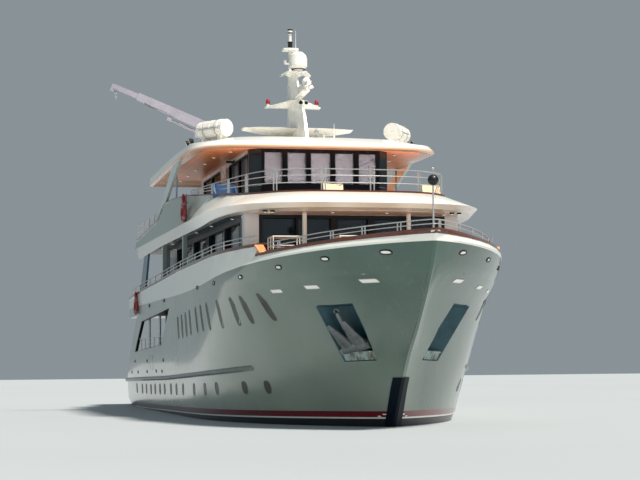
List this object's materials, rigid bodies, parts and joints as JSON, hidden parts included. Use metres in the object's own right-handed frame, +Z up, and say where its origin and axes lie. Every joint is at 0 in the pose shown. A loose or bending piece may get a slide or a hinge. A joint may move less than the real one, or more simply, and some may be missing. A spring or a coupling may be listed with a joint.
{
  "type": "motor yacht",
  "caption": "Displacement motor yacht with a raked bow, open stern terrace, glazed saloon, banded bridge deck, hardtop, winged mast, side crane, screws and rudders.",
  "frame": {"origin": "on the centreline at the waterline, amidships", "axes": "+X to the bow, +Y to port, +Z up"},
  "size_m": [38.46, 10.9784, 17.11],
  "materials": {
    "hull_white": "satin",
    "upper_white": "gloss",
    "bottom_paint": "matte",
    "navy": "satin",
    "teak": "matte",
    "cap_wood": "varnished",
    "steel": "polished",
    "glass": "tinted",
    "rubber": "matte",
    "bronze": "polished",
    "galvanised": "matte",
    "dome": "gloss"
  },
  "bodies": {
    "yacht": {"hull": "hull_white", "terrace_side_starboard": "hull_white", "terrace_side_port": "hull_white", "upper_deck_aft": "upper_white", "bulwark_bow": "hull_white", "bulwark_starboard": "hull_white", "bulwark_port": "hull_white", "cap_rail_starboard": "cap_wood", "cap_rail_port": "cap_wood", "cap_rail_bow": "cap_wood", "rub_rail_starboard": "rubber", "rub_rail_port": "rubber", "stem_guard": "navy", "swim_platform": "upper_white", "bow_rail": "steel", "side_rail_starboard": "steel", "side_rail_port": "steel", "stern_rail": "steel", "terrace_rail_starboard": "steel", "terrace_rail_port": "steel", "upper_teak": "teak", "saloon_walls": "upper_white", "saloon_glass": "glass", "bridge_band": "upper_white", "bridge_deck": "upper_white", "bridge_teak": "teak", "bridge_cap": "cap_wood", "bridge_rail_fore": "steel", "bridge_rail_aft": "steel", "fin_lower_starboard": "navy", "fin_lower_port": "navy", "fin_upper_starboard": "upper_white", "fin_upper_port": "upper_white", "wheelhouse_walls": "upper_white", "wheelhouse_glass": "glass", "helm_console": "cap_wood", "hardtop": "upper_white", "mast": "upper_white", "satcom_dome": "dome", "life_raft_starboard": "dome", "life_raft_port": "dome", "crane_base": "upper_white", "anchor_starboard": "galvanised"},
    "propeller_starboard": {"propeller_starboard": "bronze"},
    "propeller_port": {"propeller_port": "bronze"},
    "rudder_starboard": {"rudder_starboard": "bottom_paint"},
    "rudder_port": {"rudder_port": "bottom_paint"},
    "radar_scanner": {"radar_scanner": "dome"},
    "crane_head": {"crane_head": "upper_white"},
    "crane_boom": {"crane_boom": "upper_white"},
    "crane_cylinder": {"crane_cylinder": "upper_white"},
    "crane_rod": {"crane_rod": "steel"},
    "wheelhouse_door_starboard": {"wheelhouse_door_starboard": "cap_wood"},
    "wheelhouse_door_port": {"wheelhouse_door_port": "cap_wood"},
    "saloon_door_starboard": {"saloon_door_starboard": "glass"},
    "saloon_door_port": {"saloon_door_port": "glass"}
  },
  "joints": [
    {"name": "propeller_starboard_spin", "type": "hinge", "parent": "yacht", "child": "propeller_starboard", "pos_m": [-14, -1.75, -1.76], "axis": [0.9963, 0, 0.0857], "continuous": true},
    {"name": "propeller_port_spin", "type": "hinge", "parent": "yacht", "child": "propeller_port", "pos_m": [-14, 1.75, -1.76], "axis": [0.9963, 0, 0.0857], "continuous": true},
    {"name": "rudder_starboard_turn", "type": "hinge", "parent": "yacht", "child": "rudder_starboard", "pos_m": [-15.1, -1.75, -1], "axis": [0, 0, 1], "range_deg": [-35, 35]},
    {"name": "rudder_port_turn", "type": "hinge", "parent": "yacht", "child": "rudder_port", "pos_m": [-15.1, 1.75, -1], "axis": [0, 0, 1], "range_deg": [-35, 35]},
    {"name": "radar_spin", "type": "hinge", "parent": "yacht", "child": "radar_scanner", "pos_m": [3.02, 0, 11.95], "axis": [0, 0, 1], "continuous": true},
    {"name": "crane_slew", "type": "hinge", "parent": "yacht", "child": "crane_head", "pos_m": [-3, -2.7, 10.83], "axis": [0, 0, 1], "range_deg": [-80, 95]},
    {"name": "crane_luff", "type": "hinge", "parent": "crane_head", "child": "crane_boom", "pos_m": [-3, -2.7, 11.33], "axis": [-0.9928, 0.1197, 0], "range_deg": [-10, 35]},
    {"name": "crane_cylinder_swing", "type": "hinge", "parent": "crane_head", "child": "crane_cylinder", "pos_m": [-3.0407, -3.03755, 11.08], "axis": [-0.9928, 0.1197, 0], "range_deg": [-11, 38.5]},
    {"name": "crane_rod_slide", "type": "slide", "parent": "crane_cylinder", "child": "crane_rod", "axis": [-0.1089, -0.9034, 0.4147], "range_m": [-0.07, 0.24]},
    {"name": "wheelhouse_door_starboard_swing", "type": "hinge", "parent": "yacht", "child": "wheelhouse_door_starboard", "pos_m": [0.45, -2.5, 7.9], "axis": [0, 0, 1], "range_deg": [0, 95]},
    {"name": "wheelhouse_door_port_swing", "type": "hinge", "parent": "yacht", "child": "wheelhouse_door_port", "pos_m": [0.45, 2.5, 7.9], "axis": [0, 0, -1], "range_deg": [0, 95]},
    {"name": "saloon_door_starboard_slide", "type": "slide", "parent": "yacht", "child": "saloon_door_starboard", "axis": [0, -1, 0], "range_m": [0, 1.1]},
    {"name": "saloon_door_port_slide", "type": "slide", "parent": "yacht", "child": "saloon_door_port", "axis": [0, 1, 0], "range_m": [0, 1.1]}
  ],
  "couplings": [
    {"joint": "rudder_port_turn", "follows": "rudder_starboard_turn", "ratio": 1},
    {"joint": "crane_cylinder_swing", "follows": "crane_luff", "ratio": 1.09},
    {"joint": "crane_rod_slide", "follows": "crane_luff", "m_per_rad": 0.39}
  ]
}
